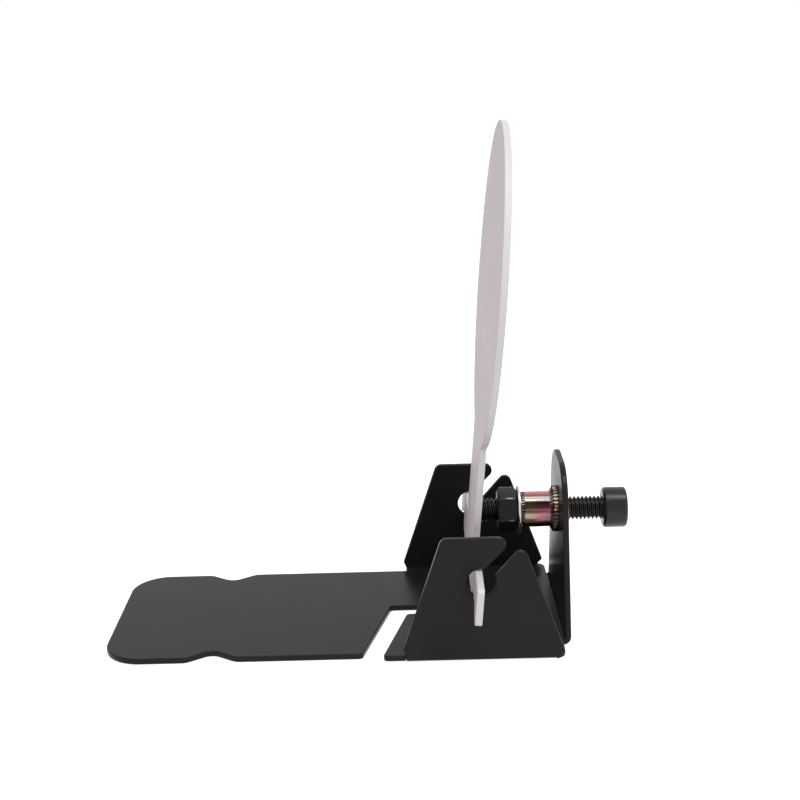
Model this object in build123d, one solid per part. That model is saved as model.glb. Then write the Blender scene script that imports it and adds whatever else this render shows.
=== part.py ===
from build123d import *
import math
import os

# Knock-down round target on a base folded from one piece of sheet steel.
#
# Millimetres, +Z up. The origin lies on the underside of the base, midway between the two
# ears and straight below the axis about which the target tips. -X is the front, where the
# target falls on the long front plate. +X is the rear, where the adjusting screw comes
# through the rear tab and props the target. The "near" ear is on the -Y side.

# Base sheet
sheet = 1.5

# Front plate
plate_reach = 92.4
plate_near_edge = 26.45
plate_far_edge = 25.1
plate_corner_radius = 9.6
notch_from_pivot = 65.6
notch_half_opening = 6.0
notch_apex_depth = 4.2
notch_root_radius = 3.0
notch_shoulder_radius = 4.0

# Hook slot, cut in from the near edge of the front plate
slot_width = 5.05
slot_lean = 13.4
slot_corner_from_pivot = 22.1
slot_far_wall = 1.5
slot_end_from_pivot = 12.0
slot_corner_radius = 1.0
slot_mouth_radius = 1.2
tongue_near_edge = 28.0
tongue_corner_radius = 1.0

# Ears
ear_gap = 54.0
ear_height = 31.15
ear_foot_front = 18.2
ear_foot_rear = 17.8
ear_fold_radius = 0.8
ear_front_base = 19.95
ear_front_slope = 0.34
ear_rear_base = 20.65
ear_rear_slope = 0.365
ear_front_corner_radius = 2.0
ear_horn_radius = 1.9
ear_peak_radius = 1.8
ear_heel_height = 1.6
ear_front_relief = 0.2
floor_corner_overhang = 1.3
floor_corner_radius = 2.2

# Seats of the target in the ears
pivot_height = 19.9
seat_clearance = 0.05
throat_front_angle = 45.0
throat_front_clearance = 0.2
throat_rear_angle = 49.0
throat_rear_clearance = 1.33

# Rear tab
tab_from_pivot = 20.6
tab_bend_inside_radius = 0.5
tab_height = 41.75
tab_base_half_width = 21.2
tab_top_half_width = 12.5
tab_corner_radius = 10.5

# Target, cut from flat plate
target_thickness = 1.7
target_front_offset = 1.72
target_lean = 4.87
disc_radius = 39.6
disc_height = 65.8
stem_half_width = 13.15
neck_radius = 1.8
crossbar_half_length = 40.0
arm_half_height = 3.0
crossbar_drop = 6.0
relief_margin = 0.7
relief_slope_run = 4.0
end_lug_length = 2.6
crossbar_corner_radius = 1.0

# Adjusting screw, M6 socket head cap screw
screw_height = 27.8
thread_diameter = 6.0
thread_clearance = 0.05
screw_length = 31.2
screw_tip_chamfer = 0.8
screw_tip_clearance = 0.05
head_diameter = 10.2
head_height = 6.0
head_chamfer = 0.5
hex_key_size = 5.0
hex_key_depth = 3.0
drill_point_angle = 30.0

# Rivet nut set in the rear tab
rivet_body_diameter = 9.0
rivet_hole_clearance = 0.05
rivet_reach = 9.4
rivet_collar_diameter = 11.5
rivet_collar_width = 1.9
rivet_flange_diameter = 12.5
rivet_flange_thickness = 1.0
rivet_edge_chamfer = 0.4

# Lock nut and washer
nut_size = 10.0
nut_thickness = 5.1
nut_turn = 11.0
nut_chamfer_angle = 30.0
nut_countersink = 0.5
washer_diameter = 12.0
washer_hole_clearance = 0.2
washer_thickness = 0.6

# Sizes that follow from the ones above
ear_inner = ear_gap / 2
tab_bend_outside_radius = tab_bend_inside_radius + sheet
floor_rear = tab_from_pivot - tab_bend_inside_radius
thread_radius = thread_diameter / 2
bore_radius = thread_radius + thread_clearance
seat_radius = math.hypot(arm_half_height, target_front_offset) + seat_clearance
lean = math.radians(target_lean)


def rounded_outline(points):
    """Closed face through (x, y, corner radius) points."""
    corners = [(x, y) for x, y, radius in points]
    radii = [radius for x, y, radius in points]
    with BuildSketch() as sketch:
        with BuildLine():
            FilletPolyline(*corners, radius=radii, close=True)
        make_face()
    return sketch.sketch


def along_screw(profile):
    """Solid of revolution about the screw axis, from a closed (x, radius) profile."""
    face = make_face(Polyline(*profile, close=True))
    turned = revolve(Plane.XZ * face, Axis.X)
    return Pos(0, 0, screw_height) * turned


def hexagon_bar(start, length, across_flats, turn=0.0):
    """Hexagonal bar on the screw axis, from a starting x."""
    hexagon = RegularPolygon(across_flats / 2, 6, major_radius=False, rotation=turn)
    return extrude(Plane.YZ.offset(start) * Pos(0, screw_height) * hexagon, length)


def target_rear_face(height):
    """X of the target's rear face, as it leans, at a height above the ground."""
    rear_offset = target_thickness - target_front_offset
    return (rear_offset + (height - pivot_height) * math.sin(lean)) / math.cos(lean)


def floor_outline():
    """Plan of the flat part of the base: front plate, hook slot, tongue and floor."""
    notch_front = -notch_from_pivot - notch_half_opening
    notch_rear = -notch_from_pivot + notch_half_opening
    far_apex = plate_far_edge - notch_apex_depth
    near_apex = -plate_near_edge + notch_apex_depth
    corner_edge = ear_inner + floor_corner_overhang

    slope = math.tan(math.radians(slot_lean))
    slot_width_along_x = slot_width / math.cos(math.radians(slot_lean))
    slot_near_wall = slot_far_wall - slot_width

    def slot_outer_wall(y):
        return -slot_corner_from_pivot - (slot_far_wall - y) * slope

    def slot_inner_wall(y):
        return slot_outer_wall(y) + slot_width_along_x

    far_side = [
        (-plate_reach, plate_far_edge, plate_corner_radius),
        (notch_front, plate_far_edge, notch_shoulder_radius),
        (-notch_from_pivot, far_apex, notch_root_radius),
        (notch_rear, plate_far_edge, notch_shoulder_radius),
        (-ear_foot_front, plate_far_edge, 0),
        (-ear_foot_front, ear_inner, 0),
        (ear_foot_rear, ear_inner, 0),
        (ear_foot_rear, corner_edge, 0),
        (floor_rear, corner_edge, floor_corner_radius),
    ]
    near_ear = [
        (floor_rear, -corner_edge, floor_corner_radius),
        (ear_foot_rear, -corner_edge, 0),
        (ear_foot_rear, -ear_inner, 0),
        (-ear_foot_front - ear_front_relief, -ear_inner, 0),
        (-ear_foot_front - ear_front_relief, -tongue_near_edge, 0),
    ]
    slot = [
        (slot_inner_wall(-tongue_near_edge), -tongue_near_edge, tongue_corner_radius),
        (slot_inner_wall(slot_near_wall), slot_near_wall, slot_corner_radius),
        (-slot_end_from_pivot, slot_near_wall, slot_corner_radius),
        (-slot_end_from_pivot, slot_far_wall, slot_corner_radius),
        (slot_outer_wall(slot_far_wall), slot_far_wall, slot_corner_radius),
        (slot_outer_wall(-plate_near_edge), -plate_near_edge, slot_mouth_radius),
    ]
    near_edge = [
        (notch_rear, -plate_near_edge, notch_shoulder_radius),
        (-notch_from_pivot, near_apex, notch_root_radius),
        (notch_front, -plate_near_edge, notch_shoulder_radius),
        (-plate_reach, -plate_near_edge, plate_corner_radius),
    ]
    return rounded_outline(far_side + near_ear + slot + near_edge)


def ear_outline():
    """Side view of an ear, with the keyed throat and the round seat of the target."""
    heel = sheet + ear_heel_height

    def front_edge(z):
        return -ear_front_base + ear_front_slope * z

    def rear_edge(z):
        return ear_rear_base - ear_rear_slope * z

    # Each wall of the throat runs at its own angle, a clearance away from one face of the
    # target when the target is turned to that angle about the pivot.
    def throat_wall(angle, offset):
        run = Vector(math.cos(math.radians(angle)), math.sin(math.radians(angle)))
        across = Vector(-run.Y, run.X)
        return run, Vector(0, pivot_height) + across * offset

    front_run, front_foot = throat_wall(
        throat_front_angle, target_front_offset + throat_front_clearance)
    rear_run, rear_foot = throat_wall(
        throat_rear_angle, target_front_offset - target_thickness - throat_rear_clearance)
    horn = front_foot + front_run * ((ear_height - front_foot.Y) / front_run.Y)
    to_rear_edge = rear_edge(rear_foot.Y) - rear_foot.X
    peak = rear_foot + rear_run * (to_rear_edge / (rear_run.X + ear_rear_slope * rear_run.Y))

    profile = rounded_outline([
        (-ear_foot_front, sheet, 0),
        (front_edge(heel), heel, 0),
        (front_edge(ear_height), ear_height, ear_front_corner_radius),
        (horn.X, horn.Y, ear_horn_radius),
        (front_foot.X, front_foot.Y, 0),
        (rear_foot.X, rear_foot.Y, 0),
        (peak.X, peak.Y, ear_peak_radius),
        (rear_edge(heel), heel, 0),
        (ear_foot_rear, sheet, 0),
    ])
    return profile - Pos(0, pivot_height) * Circle(seat_radius)


def base_frame():
    """Front plate, floor, two ears and rear tab, folded from one sheet."""
    floor = extrude(floor_outline(), sheet)

    # The ears fold up sharply, square inside and barely rounded outside.
    far_ear = extrude(Plane.XZ.offset(-ear_inner) * ear_outline(), -sheet)
    fold_section = Plane.YZ.offset(-ear_foot_front) * rounded_outline([
        (ear_inner, 0, 0),
        (ear_inner + sheet, 0, ear_fold_radius),
        (ear_inner + sheet, sheet, 0),
        (ear_inner, sheet, 0),
    ])
    far_side = far_ear + extrude(fold_section, ear_foot_front + ear_foot_rear)
    near_side = mirror(far_side, Plane.XZ)

    # The rear tab has a rolled bend.
    rear_tab_face = Plane.YZ.offset(tab_from_pivot) * rounded_outline([
        (-tab_base_half_width, tab_bend_outside_radius, 0),
        (-tab_top_half_width, tab_height, tab_corner_radius),
        (tab_top_half_width, tab_height, tab_corner_radius),
        (tab_base_half_width, tab_bend_outside_radius, 0),
    ])
    rear_tab = extrude(rear_tab_face, sheet)
    ring = Circle(tab_bend_outside_radius) - Circle(tab_bend_inside_radius)
    quarter = ring & Rectangle(
        tab_bend_outside_radius, tab_bend_outside_radius, align=(Align.MIN, Align.MAX))
    bend_place = Plane.XZ.offset(-tab_base_half_width) * Pos(floor_rear, tab_bend_outside_radius)
    rear_bend = extrude(bend_place * quarter, 2 * tab_base_half_width)

    hole_radius = rivet_body_diameter / 2 + rivet_hole_clearance
    tab_middle = tab_from_pivot + sheet / 2
    rivet_hole = Pos(tab_middle, 0, screw_height) * Rot(0, 90, 0) * Cylinder(hole_radius, 2 * sheet)
    return floor + far_side + near_side + rear_tab + rear_bend - rivet_hole


def target_plate():
    """Disc, stem and crossbar cut from one flat plate; the crossbar's arms lie in the ears."""
    relief_inner = ear_inner - relief_margin
    lug_inner = crossbar_half_length - end_lug_length
    half_lower_edge = [
        (crossbar_half_length, arm_half_height, crossbar_corner_radius),
        (crossbar_half_length, -crossbar_drop, crossbar_corner_radius),
        (lug_inner, -crossbar_drop, crossbar_corner_radius),
        (lug_inner - relief_slope_run, -arm_half_height, crossbar_corner_radius),
        (relief_inner, -arm_half_height, crossbar_corner_radius),
        (relief_inner - relief_slope_run, -crossbar_drop, crossbar_corner_radius),
    ]
    other_half = [(-y, s, radius) for y, s, radius in reversed(half_lower_edge)]
    crossbar = rounded_outline(half_lower_edge + other_half)
    stem = Rectangle(2 * stem_half_width, disc_height, align=(Align.CENTER, Align.MIN))
    disc = Pos(0, disc_height) * Circle(disc_radius)
    blank = crossbar + stem + disc

    neck_height = disc_height - math.sqrt(disc_radius**2 - stem_half_width**2)
    corners = [v for v in blank.vertices() if abs(abs(v.X) - stem_half_width) < 0.01]
    neck = [v for v in corners if v.Y > neck_height - 0.01]
    root = [v for v in corners if v.Y < arm_half_height + 0.01]
    blank = fillet(neck + root, neck_radius)

    forward = Vector(math.cos(lean), 0, -math.sin(lean))
    through_pivot = Plane(origin=(0, 0, pivot_height), x_dir=(0, 1, 0), z_dir=forward)
    return extrude(through_pivot.offset(-target_front_offset) * blank, target_thickness)


def adjusting_screw():
    """Socket head cap screw with a plain shank, its tip against the leaning target."""
    tip_radius = thread_radius - screw_tip_chamfer
    tip = target_rear_face(screw_height + tip_radius) + screw_tip_clearance
    seat = tip + screw_length
    top = seat + head_height
    head_radius = head_diameter / 2
    body = along_screw([
        (tip, 0),
        (tip, tip_radius),
        (tip + screw_tip_chamfer, thread_radius),
        (seat, thread_radius),
        (seat, head_radius),
        (top - head_chamfer, head_radius),
        (top, head_radius - head_chamfer),
        (top, 0),
    ])
    drill_point = hex_key_size / 2 * math.tan(math.radians(drill_point_angle))
    bottom = top - hex_key_depth
    socket = hexagon_bar(bottom, hex_key_depth, hex_key_size)
    point = along_screw([(bottom, 0), (bottom, hex_key_size / 2), (bottom - drill_point, 0)])
    return body - socket - point


def rivet_nut():
    """Rivet nut clinched in the rear tab: flange behind, swelled collar and body in front."""
    front = tab_from_pivot - rivet_reach
    rear_face = tab_from_pivot + sheet
    body_radius = rivet_body_diameter / 2
    collar_radius = rivet_collar_diameter / 2
    collar_front = tab_from_pivot - rivet_collar_width
    collar_middle = tab_from_pivot - rivet_collar_width / 2
    flange_radius = rivet_flange_diameter / 2
    return along_screw([
        (front, bore_radius),
        (front, body_radius - rivet_edge_chamfer),
        (front + rivet_edge_chamfer, body_radius),
        (collar_front, body_radius),
        (collar_middle, collar_radius),
        (tab_from_pivot, collar_radius),
        (tab_from_pivot, body_radius),
        (rear_face, body_radius),
        (rear_face, flange_radius),
        (rear_face + rivet_flange_thickness, flange_radius),
        (rear_face + rivet_flange_thickness, bore_radius),
    ])


def lock_washer():
    """Flat washer between the rivet nut and the lock nut."""
    rear = tab_from_pivot - rivet_reach
    hole_radius = thread_radius + washer_hole_clearance
    outer_radius = washer_diameter / 2
    return along_screw([
        (rear, hole_radius),
        (rear, outer_radius),
        (rear - washer_thickness, outer_radius),
        (rear - washer_thickness, hole_radius),
    ])


def lock_nut():
    """Hexagon nut, corners chamfered on both faces, tightened against the washer."""
    rear = tab_from_pivot - rivet_reach - washer_thickness
    front = rear - nut_thickness
    flat_radius = nut_size / 2
    corner_radius = flat_radius / math.cos(math.radians(30))
    chamfer = (corner_radius - flat_radius) * math.tan(math.radians(nut_chamfer_angle))
    turned = along_screw([
        (front, bore_radius + nut_countersink),
        (front, flat_radius),
        (front + chamfer, corner_radius),
        (rear - chamfer, corner_radius),
        (rear, flat_radius),
        (rear, bore_radius + nut_countersink),
        (rear - nut_countersink, bore_radius),
        (front + nut_countersink, bore_radius),
    ])
    return hexagon_bar(front, nut_thickness, nut_size, nut_turn) & turned


parts = {
    "base_frame": base_frame,
    "target_plate": target_plate,
    "adjusting_screw": adjusting_screw,
    "rivet_nut": rivet_nut,
    "lock_washer": lock_washer,
    "lock_nut": lock_nut,
}

os.makedirs("parts", exist_ok=True)
for name, make in parts.items():
    export_step(make(), f"parts/{name}.step")
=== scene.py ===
import bpy
import bmesh
import math
from mathutils import Matrix, Vector


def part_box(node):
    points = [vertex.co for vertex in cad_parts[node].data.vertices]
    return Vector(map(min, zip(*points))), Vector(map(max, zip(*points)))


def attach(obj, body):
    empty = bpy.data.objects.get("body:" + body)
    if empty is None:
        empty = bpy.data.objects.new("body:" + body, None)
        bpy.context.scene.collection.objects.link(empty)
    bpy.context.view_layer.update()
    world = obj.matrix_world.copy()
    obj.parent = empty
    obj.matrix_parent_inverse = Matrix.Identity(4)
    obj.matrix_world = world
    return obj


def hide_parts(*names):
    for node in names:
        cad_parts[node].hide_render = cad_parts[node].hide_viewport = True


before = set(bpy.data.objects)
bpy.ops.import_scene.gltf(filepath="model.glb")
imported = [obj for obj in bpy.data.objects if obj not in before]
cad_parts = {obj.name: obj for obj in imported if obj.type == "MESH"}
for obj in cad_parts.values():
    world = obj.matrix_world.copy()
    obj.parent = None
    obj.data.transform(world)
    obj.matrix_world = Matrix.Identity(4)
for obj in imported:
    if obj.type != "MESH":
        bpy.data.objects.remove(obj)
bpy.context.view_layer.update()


# ---------------------------------------------------------------------------
# Base: one piece of 1.5 mm sheet steel, laser cut, folded up into two ears and a rear tab,
# then powder coated satin black. The coat rounds the cut edges and has a fine orange peel.
# ---------------------------------------------------------------------------
MM = 0.001  # in metres, as the frame is
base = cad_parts["base_frame"]
coat_round = 0.35 * MM
sharp_bend = 35.0  # degrees
relief_cut = (-18.3 * MM, 27.6 * MM, 0.75 * MM)
relief_reach = 1.3 * MM
fold_end = (17.85 * MM, 28.3 * MM, 0.8 * MM)
fold_reach = 1.0 * MM


def feed(node, sockets):
    """Gives input sockets, by label or position, a value or another node's output."""
    for socket, value in sockets.items():
        if isinstance(value, bpy.types.NodeSocket):
            node.id_data.links.new(value, node.inputs[socket])
        else:
            node.inputs[socket].default_value = value


def add_node(tree, kind, sockets=None, **settings):
    """New node with its settings by name, and its input sockets fed."""
    node = tree.nodes.new(kind)
    for setting, value in settings.items():
        setattr(node, setting, value)
    feed(node, sockets or {})
    return node


def calculate(tree, operation, *terms):
    """Output of a Math node whose terms are numbers or other nodes' outputs."""
    return add_node(tree, "ShaderNodeMath", dict(enumerate(terms)), operation=operation).outputs[0]


def mesh_group(name):
    """Empty geometry group that takes in a mesh and gives one out."""
    group = bpy.data.node_groups.new(name, "GeometryNodeTree")
    for way in ("INPUT", "OUTPUT"):
        group.interface.new_socket(name="Mesh", in_out=way, socket_type="NodeSocketGeometry")
    return group


def outer_edges_group(left_square):
    """Marks a sheet's outer edges for rounding, except near given spots and their mirror places."""
    group = mesh_group("outer edges")
    mesh = add_node(group, "NodeGroupInput").outputs["Mesh"]
    bend = add_node(group, "GeometryNodeInputMeshEdgeAngle").outputs["Signed Angle"]
    place = add_node(group, "GeometryNodeInputPosition").outputs["Position"]
    axes = add_node(group, "ShaderNodeSeparateXYZ", {0: place}).outputs
    on_one_side = add_node(
        group, "ShaderNodeCombineXYZ",
        {"X": axes["X"], "Y": calculate(group, "ABSOLUTE", axes["Y"]), "Z": axes["Z"]},
    ).outputs[0]
    weight = calculate(group, "GREATER_THAN", bend, math.radians(sharp_bend))
    for spot, reach in left_square:
        away = add_node(
            group, "ShaderNodeVectorMath", {0: on_one_side, 1: spot}, operation="DISTANCE"
        ).outputs["Value"]
        beyond = calculate(group, "GREATER_THAN", away, reach)
        weight = calculate(group, "MULTIPLY", weight, beyond)
    marked = add_node(
        group, "GeometryNodeStoreNamedAttribute",
        {"Geometry": mesh, "Name": "bevel_weight_edge", "Value": weight},
        data_type="FLOAT", domain="EDGE",
    )
    add_node(group, "NodeGroupOutput", {"Mesh": marked.outputs[0]})
    return group


def square_corners_group():
    """Splits the shading along corners that are still sharp after the rounding."""
    group = mesh_group("square corners")
    mesh = add_node(group, "NodeGroupInput").outputs["Mesh"]
    bend = add_node(group, "GeometryNodeInputMeshEdgeAngle").outputs["Unsigned Angle"]
    square = calculate(group, "GREATER_THAN", bend, math.radians(sharp_bend))
    creased = add_node(
        group, "GeometryNodeSetShadeSmooth",
        {"Geometry": mesh, "Selection": square, "Shade Smooth": False}, domain="EDGE",
    )
    add_node(group, "NodeGroupOutput", {"Mesh": creased.outputs[0]})
    return group


def soften_edges(piece, width, segments=3, angle=sharp_bend, left_square=()):
    """Rounds a CAD piece's cut edges and keeps its flat faces flat, its own mesh unchanged."""
    # Welded and cleared of flat triangles first, which would hold the rounding back.
    piece.modifiers.new("weld", "WELD").merge_threshold = 0.001 * MM
    flatten = piece.modifiers.new("flatten", "DECIMATE")
    flatten.decimate_type = "DISSOLVE"
    flatten.angle_limit = math.radians(0.5)
    if left_square:
        piece.modifiers.new("outer edges", "NODES").node_group = outer_edges_group(left_square)
    bevel = piece.modifiers.new("round", "BEVEL")
    bevel.width = width
    bevel.segments = segments
    bevel.use_clamp_overlap = not left_square
    bevel.limit_method = "WEIGHT" if left_square else "ANGLE"
    bevel.angle_limit = math.radians(angle)
    if left_square:
        piece.modifiers.new("square corners", "NODES").node_group = square_corners_group()
    normals = piece.modifiers.new("flat faces", "WEIGHTED_NORMAL")
    normals.weight = 100
    normals.keep_sharp = bool(left_square)
    for face in piece.data.polygons:
        face.use_smooth = True


# At the relief cuts and at the folds' rear ends a rounding would fold over itself.
soften_edges(
    base, coat_round, segments=4,
    left_square=[(relief_cut, relief_reach), (fold_end, fold_reach)],
)


def fade(tree, value, start, end, low=0.0, high=1.0):
    """Output that goes from low to high as a value goes from start to end, and holds beyond."""
    sockets = {"Value": value, "From Min": start, "From Max": end, "To Min": low, "To Max": high}
    return add_node(tree, "ShaderNodeMapRange", sockets).outputs["Result"]


def mix(tree, share, first, second, data_type="RGBA"):
    """Output of a Mix node: all of the first at share 0, all of the second at share 1."""
    sockets = {"Factor": share, "A": first, "B": second}
    return add_node(tree, "ShaderNodeMix", sockets, data_type=data_type).outputs["Result"]


def shader_group(name, inputs, outputs):
    """Empty shader group with float inputs {label: default} and float outputs by label."""
    group = bpy.data.node_groups.new(name, "ShaderNodeTree")
    for label, default in inputs.items():
        socket = group.interface.new_socket(
            name=label, in_out="INPUT", socket_type="NodeSocketFloat"
        )
        socket.default_value = default
    for label in outputs:
        group.interface.new_socket(name=label, in_out="OUTPUT", socket_type="NodeSocketFloat")
    return group


def sprayed_film_group():
    """Orange peel, fine grain and slow mottle of a sprayed coat, in object space."""
    group = shader_group(
        "sprayed film",
        {"Peel Scale": 900.0, "Grain Scale": 4000.0, "Grain Share": 0.3, "Mottle Scale": 60.0},
        ["Height", "Mottle"],
    )
    given = add_node(group, "NodeGroupInput").outputs
    place = add_node(group, "ShaderNodeTexCoord").outputs["Object"]

    def noise(scale, detail, roughness):
        sockets = {"Vector": place, "Scale": given[scale], "Detail": detail, "Roughness": roughness}
        return add_node(group, "ShaderNodeTexNoise", sockets).outputs["Fac"]

    peel = noise("Peel Scale", detail=1.0, roughness=0.4)
    grain = noise("Grain Scale", detail=2.0, roughness=0.6)
    mottle = noise("Mottle Scale", detail=4.0, roughness=0.55)
    height = mix(group, given["Grain Share"], peel, grain, data_type="FLOAT")
    add_node(group, "NodeGroupOutput", {"Height": height, "Mottle": mottle})
    return group


def edge_band_group():
    """Mask that is 1 on a cut or folded edge and fades to 0 inside the faces."""
    group = shader_group("edge band", {"Width": 0.4 * MM}, ["Mask"])
    width = add_node(group, "NodeGroupInput").outputs["Width"]
    rounded = add_node(group, "ShaderNodeBevel", {"Radius": width}, samples=4).outputs["Normal"]
    surface = add_node(group, "ShaderNodeNewGeometry").outputs["Normal"]
    agreement = add_node(
        group, "ShaderNodeVectorMath", {0: rounded, 1: surface}, operation="DOT_PRODUCT"
    ).outputs["Value"]
    # The rounded normal parts from the face's own only near an edge.
    mask = fade(group, agreement, 0.995, 0.86)
    add_node(group, "NodeGroupOutput", {"Mask": mask})
    return group


sprayed_film = sprayed_film_group()
edge_band = edge_band_group()


def finish(name, low, high, edge, roughness, film, bump_height, edge_width,
           metallic=0.0, specular=0.5, gloss_tint=(1.0, 1.0, 1.0, 1.0)):
    """Sprayed, plated or blackened finish: low to high colour by mottle, and a lighter edge colour
    at edges that is a painted highlight.
    """
    material = bpy.data.materials.new(name)
    material.use_nodes = True
    tree = material.node_tree
    coat = add_node(tree, "ShaderNodeGroup", film, node_tree=sprayed_film).outputs
    edges = add_node(tree, "ShaderNodeGroup", {"Width": edge_width}, node_tree=edge_band).outputs
    # The noise seldom leaves 0.3 to 0.7, so that much of it spans the two colours.
    mottle = fade(tree, coat["Mottle"], 0.3, 0.7)
    bump = add_node(
        tree, "ShaderNodeBump",
        {"Height": coat["Height"], "Strength": 1.0, "Distance": bump_height},
    )
    feed(tree.nodes["Principled BSDF"], {
        # The edge colour is a painted highlight along the rounded edges.
        "Base Color": mix(tree, edges["Mask"], mix(tree, mottle, low, high), edge),
        "Roughness": fade(tree, mottle, 0.0, 1.0, *roughness),
        "Normal": bump.outputs["Normal"],
        "Metallic": metallic,
        "Specular IOR Level": specular,
        "Specular Tint": gloss_tint,
    })
    return material


def paint(piece, material):
    """Gives a piece one material in place of whatever it had."""
    piece.data.materials.clear()
    piece.data.materials.append(material)


powder_coat = finish(
    "black powder coat",
    low=(0.0128, 0.0122, 0.0138, 1.0),
    high=(0.0172, 0.0162, 0.0180, 1.0),
    # edge: painted highlight along the coat's rounded edges
    edge=(0.022, 0.021, 0.023, 1.0),
    roughness=(0.27, 0.34),
    film={"Peel Scale": 900.0, "Grain Scale": 3500.0, "Grain Share": 0.35, "Mottle Scale": 70.0},
    bump_height=0.006 * MM,
    edge_width=0.4 * MM,
    specular=0.13,
    gloss_tint=(1.0, 0.93, 1.0, 1.0),
)
paint(base, powder_coat)


# ---------------------------------------------------------------------------
# Rivet nut: M6 steel rivet nut, yellow zinc plated, clinched in the rear tab. Its body stands
# in front of the tab, and its wall is swelled and knurled into a collar against the sheet.
# ---------------------------------------------------------------------------
rivet_low, rivet_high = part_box("rivet_nut")
screw_line = (rivet_low.z + rivet_high.z) / 2
sheet = 1.5 * MM
tab_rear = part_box("base_frame")[1].x
tab_front = tab_rear - sheet
front_end = rivet_low.x
rear_end = rivet_high.x
collar_width = 1.9 * MM
collar_front = tab_front - collar_width
bore_radius = 3.05 * MM
body_radius = 4.5 * MM
collar_radius = 5.85 * MM
flange_radius = (rivet_high.z - rivet_low.z) / 2
teeth = 36
tooth_depth = 0.34 * MM
serration_depth = 0.26 * MM

# Outline from the bore's front rim round to its rear rim: place along the screw, radius,
# and how deep the teeth cut in there.
outside = [
    (front_end, bore_radius, 0.0),
    (front_end, body_radius - 0.65 * MM, 0.0),
    (front_end + 0.35 * MM, body_radius - 0.60 * MM, 0.0),
    (front_end + 0.42 * MM, body_radius - 0.12 * MM, serration_depth),
    (front_end + 0.75 * MM, body_radius - 0.04 * MM, serration_depth),
    (front_end + 1.05 * MM, body_radius - 0.03 * MM, serration_depth),
    (front_end + 1.25 * MM, body_radius, 0.0),
    (collar_front - 0.10 * MM, body_radius, 0.0),
    (collar_front + 0.08 * MM, body_radius + 0.10 * MM, 0.0),
    (collar_front + 0.36 * MM, body_radius + 0.62 * MM, tooth_depth),
    (collar_front + 0.46 * MM, body_radius + 0.68 * MM, tooth_depth),
    (collar_front + 0.72 * MM, collar_radius - 0.12 * MM, tooth_depth),
    (collar_front + 0.85 * MM, collar_radius, tooth_depth),
    (collar_front + 1.35 * MM, collar_radius, tooth_depth),
    (tab_front - 0.10 * MM, collar_radius, 0.0),
    (tab_front, collar_radius - 0.10 * MM, 0.0),
    (tab_front, body_radius, 0.0),
    (tab_rear, body_radius, 0.0),
    (tab_rear, flange_radius - 0.15 * MM, 0.0),
    (tab_rear + 0.15 * MM, flange_radius, 0.0),
    (rear_end - 0.2 * MM, flange_radius, 0.0),
    (rear_end, flange_radius - 0.2 * MM, 0.0),
    (rear_end, bore_radius, 0.0),
]


def as_piece(name, shape, sharp=32.0):
    """New object from a bmesh, smooth but for edges sharper than an angle in degrees."""
    mesh = bpy.data.meshes.new(name)
    shape.to_mesh(mesh)
    shape.free()
    mesh.shade_smooth()
    mesh.set_sharp_from_angle(angle=math.radians(sharp))
    piece = bpy.data.objects.new(name, mesh)
    bpy.context.scene.collection.objects.link(piece)
    return piece


def about_screw(x, radius, angle):
    """Place at a radius and angle about the screw's line."""
    return (x, radius * math.cos(angle), screw_line + radius * math.sin(angle))


def turned(name, angles, profile_at):
    """Ring-shaped solid about the screw's line: a closed (x, radius) profile at each angle."""
    shape = bmesh.new()
    columns = [
        [shape.verts.new(about_screw(x, radius, angle)) for x, radius in profile_at(angle)]
        for angle in angles
    ]
    for column, following in zip(columns, columns[1:] + columns[:1]):
        for i in range(len(column)):
            k = (i + 1) % len(column)
            shape.faces.new((column[i], following[i], following[k], column[k]))
    bmesh.ops.recalc_face_normals(shape, faces=shape.faces)
    return as_piece(name, shape)


def rivet_profile(angle):
    """Outline at one angle, its front end and its collar cut back between the teeth."""
    cut = abs(2 * (angle * teeth / (2 * math.pi) % 1.0) - 1)
    return [(x, radius - cut * depth) for x, radius, depth in outside]


quarter_tooth = math.pi / (2 * teeth)
rivet_nut = turned("rivet_nut_body", [quarter_tooth * j for j in range(4 * teeth)], rivet_profile)


def screw_angle_group():
    """Angle of a point about the screw's line: 0 level on the near side, rising over the top."""
    group = shader_group("angle about the screw", {}, ["Angle"])
    place = add_node(group, "ShaderNodeTexCoord").outputs["Object"]
    axes = add_node(group, "ShaderNodeSeparateXYZ", {0: place}).outputs
    height = calculate(group, "SUBTRACT", axes["Z"], screw_line)
    nearness = calculate(group, "MULTIPLY", axes["Y"], -1.0)
    add_node(group, "NodeGroupOutput", {"Angle": calculate(group, "ARCTAN2", height, nearness)})
    return group


screw_angle = screw_angle_group()


def bands(tree, turn, stops):
    """Colour by angle about the screw: (degrees, colour) stops from -180 to 180, 90 on top."""
    ramp = add_node(tree, "ShaderNodeValToRGB", {"Fac": turn})
    elements = ramp.color_ramp.elements
    elements[0].color = (*stops[0][1], 1.0)
    elements[1].color = (*stops[-1][1], 1.0)
    for degrees, colour in stops[1:-1]:
        elements.new((degrees + 180) / 360).color = (*colour, 1.0)
    return ramp.outputs["Color"]


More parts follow.
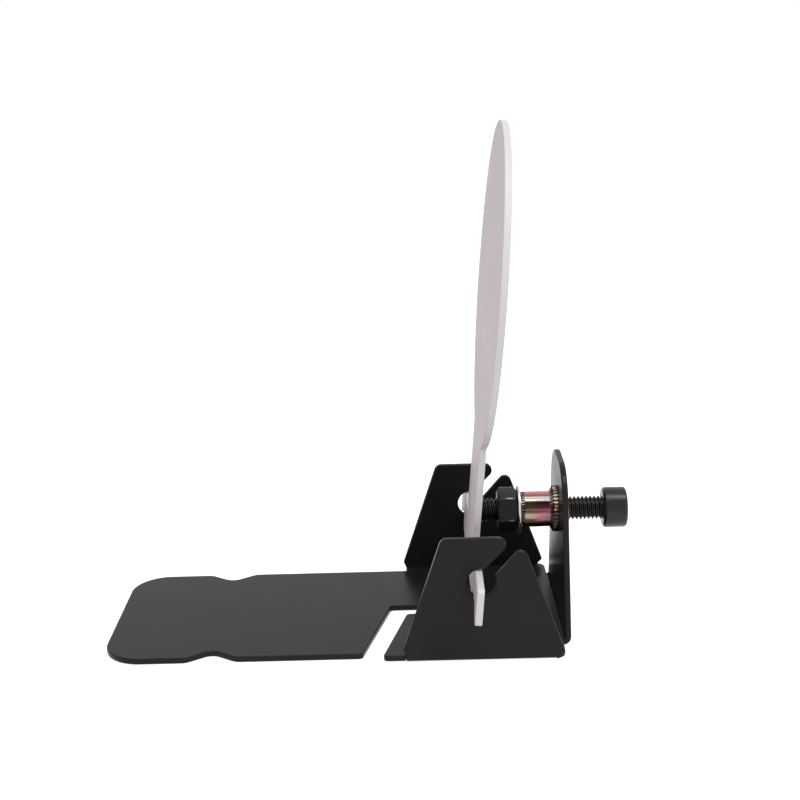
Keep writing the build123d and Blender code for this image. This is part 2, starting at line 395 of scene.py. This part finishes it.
def body_film_and_painted_reflections(tree, turn, along):
    """Colours of the plain body, gold at its front end and rose at the collar.

    The light and dark bands stand in for reflections, as seen from the near side. They are
    painted, so they keep their angle about the screw in every view and light.
    """
    gold_end = bands(tree, turn, [
        (-180, (0.55, 0.40, 0.16)), (-140, (0.30, 0.20, 0.08)), (-100, (0.30, 0.20, 0.12)),
        (-36, (0.30, 0.19, 0.12)), (-16, (0.22, 0.14, 0.07)), (-11, (1.0, 0.82, 0.56)),
        (3, (1.0, 0.86, 0.62)), (7, (0.22, 0.135, 0.07)), (18, (0.19, 0.115, 0.055)),
        (21, (0.05, 0.035, 0.018)), (43, (0.05, 0.032, 0.018)), (47, (1.0, 0.90, 0.72)),
        (62, (1.0, 0.93, 0.80)), (65, (0.50, 0.20, 0.17)), (95, (0.50, 0.21, 0.19)),
        (130, (0.75, 0.60, 0.30)), (180, (0.55, 0.40, 0.16)),
    ])
    rose_end = bands(tree, turn, [
        (-180, (0.50, 0.30, 0.20)), (-140, (0.25, 0.10, 0.10)), (-100, (0.30, 0.15, 0.15)),
        (-40, (0.30, 0.13, 0.14)), (-24, (0.30, 0.10, 0.13)), (-20, (1.0, 0.42, 0.52)),
        (3, (1.0, 0.48, 0.56)), (7, (0.29, 0.085, 0.11)), (18, (0.25, 0.07, 0.10)),
        (21, (0.07, 0.018, 0.03)), (43, (0.03, 0.012, 0.02)), (47, (1.0, 0.92, 0.93)),
        (62, (1.0, 0.95, 0.96)), (65, (0.52, 0.20, 0.20)), (95, (0.54, 0.22, 0.22)),
        (130, (0.70, 0.45, 0.30)), (180, (0.50, 0.30, 0.20)),
    ])
    middle = (front_end + collar_front) / 2
    towards_collar = fade(tree, along, middle - 0.9 * MM, middle + 1.2 * MM)
    return mix(tree, towards_collar, gold_end, rose_end)


def knurl_film_and_painted_light(tree, turn, angle):
    """Colours of the teeth: painted shade in the roots, and gold tops painted lighter and darker by
    angle, brightest in a painted highlight high on the near side.
    """
    crest_film_and_painted_light = bands(tree, turn, [
        (-180, (0.10, 0.07, 0.05)), (-50, (0.03, 0.02, 0.018)), (-20, (0.13, 0.09, 0.065)),
        (28, (0.20, 0.14, 0.10)), (38, (0.80, 0.70, 0.57)), (60, (0.85, 0.75, 0.62)),
        (68, (0.26, 0.21, 0.165)), (100, (0.22, 0.175, 0.145)), (180, (0.10, 0.07, 0.05)),
    ])
    half_tooth = math.pi / teeth
    from_root = calculate(tree, "PINGPONG", angle, half_tooth)
    on_crest = fade(tree, from_root, 0.3 * half_tooth, 0.9 * half_tooth)
    # The roots' dark colour is painted shade.
    return mix(tree, on_crest, (0.06, 0.042, 0.03, 1.0), crest_film_and_painted_light)


def yellow_zinc():
    """Yellow zinc: painted reflection and shade bands on the body and the teeth, and plain gold on
    the flange.
    """
    material = bpy.data.materials.new("yellow zinc")
    material.use_nodes = True
    tree = material.node_tree
    place = add_node(tree, "ShaderNodeTexCoord").outputs["Object"]
    along = add_node(tree, "ShaderNodeSeparateXYZ", {0: place}).outputs["X"]
    angle = add_node(tree, "ShaderNodeGroup", node_tree=screw_angle).outputs["Angle"]
    cloud = add_node(
        tree, "ShaderNodeTexNoise",
        {"Vector": place, "Scale": 350.0, "Detail": 3.0, "Roughness": 0.5},
    ).outputs["Fac"]
    waver = fade(tree, cloud, 0.0, 1.0, -0.05, 0.05)
    turn = fade(tree, calculate(tree, "ADD", angle, waver), -math.pi, math.pi)

    before_tab = calculate(tree, "LESS_THAN", along, tab_front + 0.2 * MM)
    past_body = fade(tree, along, collar_front - 0.2 * MM, collar_front + 0.1 * MM)
    on_collar = calculate(tree, "MULTIPLY", past_body, before_tab)
    on_serrations = fade(tree, along, front_end + 1.15 * MM, front_end + 0.95 * MM)
    toothed = calculate(tree, "MAXIMUM", on_collar, on_serrations)

    flange_film = mix(tree, cloud, (0.78, 0.60, 0.30, 1.0), (0.72, 0.46, 0.30, 1.0))
    smooth_film_and_painted_reflections = mix(tree, before_tab, flange_film, body_film_and_painted_reflections(tree, turn, along))
    # Not metallic from 24 degrees below level to 3 above it, where metal renders dark and the
    # painted band is meant to look light.
    metal_share = bands(tree, turn, [
        (-180, (1.0, 1.0, 1.0)), (-32, (1.0, 1.0, 1.0)), (-24, (0.0, 0.0, 0.0)),
        (3, (0.0, 0.0, 0.0)), (7, (1.0, 1.0, 1.0)), (180, (1.0, 1.0, 1.0)),
    ])
    feed(tree.nodes["Principled BSDF"], {
        "Base Color": mix(tree, toothed, smooth_film_and_painted_reflections, knurl_film_and_painted_light(tree, turn, angle)),
        "Metallic": mix(tree, before_tab, 1.0, metal_share, data_type="FLOAT"),
        "Roughness": fade(tree, cloud, 0.0, 1.0, 0.16, 0.30),
    })
    return material


paint(rivet_nut, yellow_zinc())
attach(rivet_nut, "base")
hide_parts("rivet_nut")


# ---------------------------------------------------------------------------
# Washer: stamped steel, bright zinc plated. It lies loose on the screw, between the rivet
# nut's front end and the lock nut.
# ---------------------------------------------------------------------------
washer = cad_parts["lock_washer"]
soften_edges(washer, 0.08 * MM, segments=2, angle=40.0)
bright_zinc = finish(
    "bright zinc",
    low=(0.52, 0.53, 0.54, 1.0),
    high=(0.72, 0.73, 0.74, 1.0),
    # edge: painted highlight along the washer's rounded edges
    edge=(0.90, 0.91, 0.92, 1.0),
    roughness=(0.22, 0.34),
    film={"Peel Scale": 1500.0, "Grain Scale": 5000.0, "Grain Share": 0.5, "Mottle Scale": 300.0},
    bump_height=0.003 * MM,
    edge_width=0.12 * MM,
    metallic=1.0,
)
paint(washer, bright_zinc)


# ---------------------------------------------------------------------------
# Lock nut: M6 hexagon nut of blackened steel, its corners rounded and chamfered. It is run
# along the screw against the washer, and holds the screw where it is set.
# ---------------------------------------------------------------------------
nut_low, nut_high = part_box("lock_nut")
nut_flat = 5.0 * MM
flat_turn = math.radians(19.0)
corner_round = 0.55 * MM
chamfer_start = 4.65 * MM
chamfer_rise = 0.70
nut_bore = 2.55 * MM
countersink = 0.5 * MM
half_side = math.pi / 6
corner_centre = (nut_flat - corner_round) / math.cos(half_side)
flat_reach = math.atan2(corner_centre / 2, nut_flat)
corner_reach = half_side - flat_reach
shine_start = flat_reach - 0.01
shine_full = (flat_reach + half_side) / 2
flat_steps = 10
corner_steps = 6


def hexagon_radius(angle):
    """Radius of the round-cornered hexagon at an angle about the screw's line."""
    past_flat = abs((angle + flat_turn + half_side) % (2 * half_side) - half_side)
    if past_flat <= flat_reach:
        return nut_flat / math.cos(past_flat)
    to_corner = half_side - past_flat
    aside = corner_centre * math.sin(to_corner)
    return corner_centre * math.cos(to_corner) + math.sqrt(corner_round ** 2 - aside ** 2)


def nut_profile(angle):
    """Outline of the nut at one angle: countersunk, and chamfered deepest at the corners."""
    outer = hexagon_radius(angle)
    chamfer = chamfer_rise * (outer - chamfer_start)
    front, rear = nut_low.x, nut_high.x
    return [
        (front + countersink, nut_bore),
        (front, nut_bore + countersink),
        (front, chamfer_start),
        (front + chamfer, outer),
        (rear - chamfer, outer),
        (rear, chamfer_start),
        (rear, nut_bore + countersink),
        (rear - countersink, nut_bore),
    ]


across_flat = [flat_reach * (2 * j / flat_steps - 1) for j in range(flat_steps + 1)]
round_corner = [flat_reach + 2 * corner_reach * j / corner_steps for j in range(1, corner_steps)]
nut_angles = [
    2 * half_side * side - flat_turn + step
    for side in range(6) for step in across_flat + round_corner
]
lock_nut = turned("lock_nut_body", nut_angles, nut_profile)
lock_nut.modifiers.new("flat faces", "WEIGHTED_NORMAL").weight = 100


def colour_so_far(shader):
    """The output that feeds a shader's colour now."""
    return shader.inputs["Base Color"].links[0].from_socket


def shiny_corners(material, steel):
    """Gives the nut's rounded corners the gloss of bare steel, so that the lamp shows on them."""
    tree = material.node_tree
    shader = tree.nodes["Principled BSDF"]
    angle = add_node(tree, "ShaderNodeGroup", node_tree=screw_angle).outputs["Angle"]
    # This angle runs the other way round than the mesh's, so the flats' turn is taken off.
    from_flat = calculate(tree, "SUBTRACT", angle, flat_turn)
    past_flat = calculate(tree, "PINGPONG", from_flat, half_side)
    shiny = fade(tree, past_flat, shine_start, shine_full)
    feed(shader, {"Base Color": mix(tree, shiny, colour_so_far(shader), steel), "Metallic": shiny})


black_steel = finish(
    "blackened steel",
    low=(0.0100, 0.0098, 0.0112, 1.0),
    high=(0.0140, 0.0138, 0.0152, 1.0),
    # edge: painted highlight along the nut's rounded edges
    edge=(0.0170, 0.0168, 0.0182, 1.0),
    roughness=(0.18, 0.25),
    film={"Peel Scale": 1400.0, "Grain Scale": 5200.0, "Grain Share": 0.6, "Mottle Scale": 240.0},
    bump_height=0.004 * MM,
    edge_width=0.20 * MM,
    specular=0.16,
)
shiny_corners(black_steel, steel=(0.13, 0.13, 0.135, 1.0))
paint(lock_nut, black_steel)
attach(lock_nut, "lock")
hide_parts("lock_nut")


# ---------------------------------------------------------------------------
# Adjusting screw: M6 socket head cap screw, blackened steel, its thread rolled to the head.
# It runs from behind through rivet nut, washer and lock nut, and its tip props the target.
# ---------------------------------------------------------------------------
screw_low, screw_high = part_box("adjusting_screw")
tip = screw_low.x
head_top = screw_high.x
head_height = 6.0 * MM
head_seat = head_top - head_height
head_radius = (screw_high.z - screw_low.z) / 2
pitch = 1.0 * MM
crest_radius = 3.0 * MM
root_radius = 2.42 * MM
tip_radius = 2.25 * MM
tip_chamfer = 0.8 * MM
key_size = 5.0 * MM
key_depth = 3.0 * MM
drill_point = 0.7 * MM
round_steps = 48

# One turn of thread: share of the pitch climbed, and the radius there.
thread_form = [
    (0.0, crest_radius), (0.125, crest_radius), (0.48, root_radius), (0.645, root_radius)
]


def threaded_shank():
    """Rolled thread from the tip to the head: rows that climb one pitch in each turn."""
    shape = bmesh.new()
    last = head_seat + 0.05 * MM
    turns = int((last - tip) / pitch) + 3
    rows = [(k + share, radius) for k in range(-1, turns) for share, radius in thread_form]

    def vertex(row, j):
        climb, radius = row
        x = tip + (climb + j / round_steps) * pitch
        chamfered = tip_radius + max(0.0, x - tip) * (crest_radius - tip_radius) / tip_chamfer
        radius = min(radius, chamfered)
        if x <= tip:
            radius = tip_radius
        if x >= last:
            radius = root_radius
        x = min(max(x, tip), last)
        return shape.verts.new(about_screw(x, radius, 2 * math.pi * j / round_steps))

    grid = [[vertex(row, j) for j in range(round_steps + 1)] for row in rows]
    for lower, upper in zip(grid, grid[1:]):
        for j in range(round_steps):
            shape.faces.new((lower[j], lower[j + 1], upper[j + 1], upper[j]))
    bmesh.ops.remove_doubles(shape, verts=shape.verts, dist=0.0005 * MM)
    rims = [edge for edge in shape.edges if edge.is_boundary]
    bmesh.ops.holes_fill(shape, edges=rims)
    bmesh.ops.recalc_face_normals(shape, faces=shape.faces)
    return as_piece("screw_shank", shape, sharp=25.0)


def socket_head():
    """Cylindrical head with a chamfer at each rim and a hexagon socket with a drilled floor."""
    shape = bmesh.new()
    angles = [2 * math.pi * j / round_steps for j in range(round_steps)]
    key_floor = head_top - key_depth

    def circle(x, radius):
        return [shape.verts.new(about_screw(x, radius, angle)) for angle in angles]

    def hexagon(x):
        past_flat = [(angle + half_side) % (2 * half_side) - half_side for angle in angles]
        radii = [key_size / 2 / math.cos(past) for past in past_flat]
        return [shape.verts.new(about_screw(x, r, angle)) for r, angle in zip(radii, angles)]

    # From inside the shank out over the head, and down the socket to its drilled floor.
    rings = [
        circle(head_seat, 0.9 * root_radius),
        circle(head_seat, head_radius - 0.55 * MM),
        circle(head_seat + 0.45 * MM, head_radius - 0.03 * MM),
        circle(head_seat + 0.6 * MM, head_radius),
        circle(head_top - 0.55 * MM, head_radius),
        circle(head_top - 0.4 * MM, head_radius - 0.04 * MM),
        circle(head_top, head_radius - 0.5 * MM),
        circle(head_top, 0.63 * key_size),
        hexagon(head_top - 0.3 * MM),
        hexagon(key_floor),
        circle(key_floor - drill_point, 0.175 * key_size),
    ]
    for one, other in zip(rings, rings[1:]):
        for j in range(round_steps):
            k = (j + 1) % round_steps
            shape.faces.new((one[j], one[k], other[k], other[j]))
    shape.faces.new(rings[0])
    shape.faces.new(rings[-1])
    bmesh.ops.recalc_face_normals(shape, faces=shape.faces)
    return as_piece("screw_head", shape, sharp=28.0)


screw_steel = finish(
    "blackened screw steel",
    low=(0.0020, 0.0019, 0.0021, 1.0),
    high=(0.0045, 0.0042, 0.0045, 1.0),
    # edge: painted highlight along the thread's ridges and the head's rounded rims
    edge=(0.022, 0.021, 0.022, 1.0),
    roughness=(0.25, 0.33),
    film={"Peel Scale": 1300.0, "Grain Scale": 5200.0, "Grain Share": 0.6, "Mottle Scale": 220.0},
    bump_height=0.003 * MM,
    edge_width=0.16 * MM,
    specular=0.36,
)
for piece, rounding in ((threaded_shank(), 0.03 * MM), (socket_head(), 0.12 * MM)):
    bevel = piece.modifiers.new("round", "BEVEL")
    bevel.width = rounding
    bevel.segments = 2
    bevel.limit_method = "ANGLE"
    bevel.angle_limit = math.radians(28.0)
    paint(piece, screw_steel)
    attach(piece, "screw")
    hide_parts("adjusting_screw")


# ---------------------------------------------------------------------------
# Target: disc, stem and crossbar cut from one flat steel plate and sprayed matt off-white.
# The crossbar's arms lie loose in the ears' round seats, and the stem leans on the screw.
# ---------------------------------------------------------------------------
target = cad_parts["target_plate"]
soften_edges(target, 0.2 * MM)


def paint_cut_edges(material, colour):
    """Paints the plate's cut edges lighter and less pink than its two faces, as painted light; the
    faces keep the paint's colour.
    """
    tree = material.node_tree
    shader = tree.nodes["Principled BSDF"]
    normal = add_node(tree, "ShaderNodeTexCoord").outputs["Normal"]
    across = add_node(tree, "ShaderNodeSeparateXYZ", {0: normal}).outputs["X"]
    on_face = fade(tree, calculate(tree, "ABSOLUTE", across), 0.3, 0.9)
    feed(shader, {"Base Color": mix(tree, on_face, colour, colour_so_far(shader))})


target_paint = finish(
    "off-white target paint",
    low=(0.690, 0.600, 0.625, 1.0),
    high=(0.725, 0.635, 0.658, 1.0),
    # edge: painted highlight along the plate's rounded edges
    edge=(0.84, 0.80, 0.805, 1.0),
    roughness=(0.46, 0.56),
    film={"Peel Scale": 700.0, "Grain Scale": 3000.0, "Grain Share": 0.25, "Mottle Scale": 55.0},
    bump_height=0.006 * MM,
    edge_width=0.3 * MM,
)
# The cut edges' lighter, less pink colour is painted light.
paint_cut_edges(target_paint, colour=(0.775, 0.735, 0.742, 1.0))
paint(target, target_paint)


# ---------------------------------------------------------------------------
# Studio: pale floor in white air, a long soft box overhead and a weak one on the near side.
# The camera stands on the near side, a little above the disc, and looks down on the base.
# ---------------------------------------------------------------------------
white = (1.0, 1.0, 1.0, 1.0)
floor_grey = (0.76, 0.76, 0.76, 1.0)
floor_half = 3.0
floor_drop = 0.05 * MM


def white_to_the_eye(tree, lighting, seen_as):
    """Shader that lights the object, and gives way to another for camera, mirror and glass rays."""
    rays = add_node(tree, "ShaderNodeLightPath").outputs
    direct_or_mirror = calculate(tree, "MAXIMUM", rays["Is Camera Ray"], rays["Is Glossy Ray"])
    looking = calculate(tree, "MAXIMUM", direct_or_mirror, rays["Is Transmission Ray"])
    return add_node(tree, "ShaderNodeMixShader", {0: looking, 1: lighting, 2: seen_as}).outputs[0]


world = bpy.data.worlds.new("studio air")
bpy.context.scene.world = world
world.use_nodes = True
air = world.node_tree
air.nodes.clear()
air_light = add_node(air, "ShaderNodeBackground", {"Color": white, "Strength": 0.46}).outputs[0]
air_white = add_node(air, "ShaderNodeBackground", {"Color": white, "Strength": 1.0}).outputs[0]
add_node(air, "ShaderNodeOutputWorld", {"Surface": white_to_the_eye(air, air_light, air_white)})

floor_mesh = bpy.data.meshes.new("floor")
corners = [(-1, -1), (1, -1), (1, 1), (-1, 1)]
floor_mesh.from_pydata([(floor_half * x, floor_half * y, 0) for x, y in corners], [], [range(4)])
floor = bpy.data.objects.new("floor", floor_mesh)
bpy.context.scene.collection.objects.link(floor)
floor.location.z = -floor_drop
floor_paint = bpy.data.materials.new("pale floor")
floor_paint.use_nodes = True
pale = floor_paint.node_tree
pale.nodes.clear()
matt = add_node(pale, "ShaderNodeBsdfDiffuse", {"Color": floor_grey}).outputs[0]
glow = add_node(pale, "ShaderNodeEmission", {"Color": white, "Strength": 0.75}).outputs[0]
glowing = add_node(pale, "ShaderNodeAddShader", {0: matt, 1: glow}).outputs[0]
add_node(pale, "ShaderNodeOutputMaterial", {"Surface": white_to_the_eye(pale, matt, glowing)})
floor_mesh.materials.append(floor_paint)


def soft_box(name, place, aim, width, height, power):
    """Rectangular lamp at a place, turned to face a point."""
    lamp = bpy.data.lights.new(name, "AREA")
    lamp.shape = "RECTANGLE"
    lamp.size = width
    lamp.size_y = height
    lamp.energy = power
    box = bpy.data.objects.new(name, lamp)
    bpy.context.scene.collection.objects.link(box)
    box.location = place
    box.rotation_euler = (Vector(aim) - Vector(place)).to_track_quat("-Z", "Y").to_euler()
    return box


soft_box(
    "overhead strip", place=(0.42, -0.26, 1.5), aim=(0.42, 0, 0.03),
    width=1.3, height=0.45, power=12.5,
)
near_fill = soft_box(
    "front fill", place=(0.20, -1.00, 0.10), aim=(0, 0, 0.05), width=0.5, height=0.3, power=2.0
)
near_fill.visible_glossy = False

eye = bpy.data.cameras.new("camera")
eye.sensor_width = 36.0
eye.lens = 62.99
camera = bpy.data.objects.new("camera", eye)
bpy.context.scene.collection.objects.link(camera)
eye_place = (-0.01448, -0.33496, 0.15029)
left_turn = 0.01134
look_down = 0.27058
roll = -0.02927
camera.matrix_world = (
    Matrix.Translation(eye_place)
    @ Matrix.Rotation(left_turn, 4, "Z")
    @ Matrix.Rotation(math.pi / 2 - look_down, 4, "X")
    @ Matrix.Rotation(roll, 4, "Z")
)
bpy.context.scene.camera = camera
bpy.context.scene.view_settings.view_transform = "Standard"
